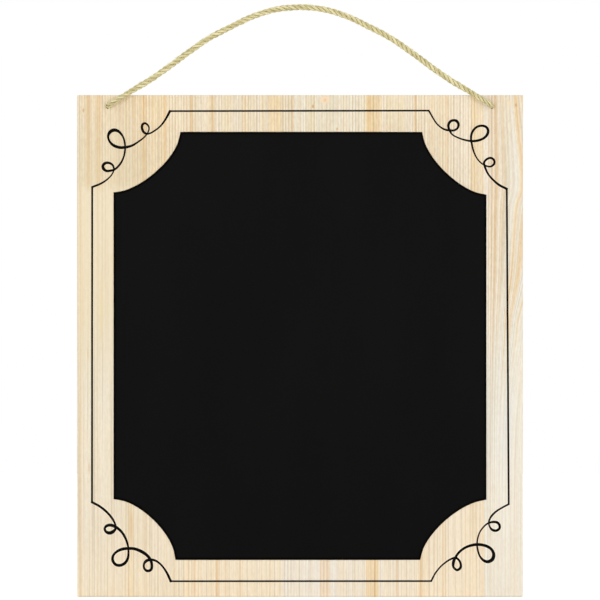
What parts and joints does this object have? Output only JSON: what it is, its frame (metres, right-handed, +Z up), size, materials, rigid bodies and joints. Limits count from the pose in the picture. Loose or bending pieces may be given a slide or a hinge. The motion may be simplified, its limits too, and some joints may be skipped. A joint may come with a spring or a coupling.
{
  "type": "wall chalkboard",
  "caption": "Portrait chalkboard: a glued pine panel with a scoop-cornered black writing panel, a curled black border line and a knotted rope hanger.",
  "frame": {"origin": "middle of the panel's back face, which lies against the wall", "axes": "+Z up along the panel's height, +X to the right as seen from the front, +Y out of the back towards the wall; the front faces -Y"},
  "size_m": [0.3048, 0.0227, 0.4054],
  "materials": {
    "pine": "planed and lightly sanded, unvarnished",
    "chalk_black": "dead matt chalkboard paint on thin board",
    "ink": "printed ink film, matt",
    "rope": "twisted three-strand natural fibre cord"
  },
  "bodies": {
    "board": {"stave_1": "pine", "stave_2": "pine", "stave_3": "pine", "stave_4": "pine", "stave_5": "pine", "chalk_panel": "chalk_black", "border_print": "ink", "rope_end_left": "rope", "rope_end_right": "rope"},
    "rope": {"rope_loop": "rope"}
  },
  "joints": [
    {"name": "rope_swing", "type": "hinge", "parent": "board", "child": "rope", "pos_m": [0, -0.0118, 0.1637], "axis": [1, 0, 0], "range_deg": [0, 176]}
  ]
}
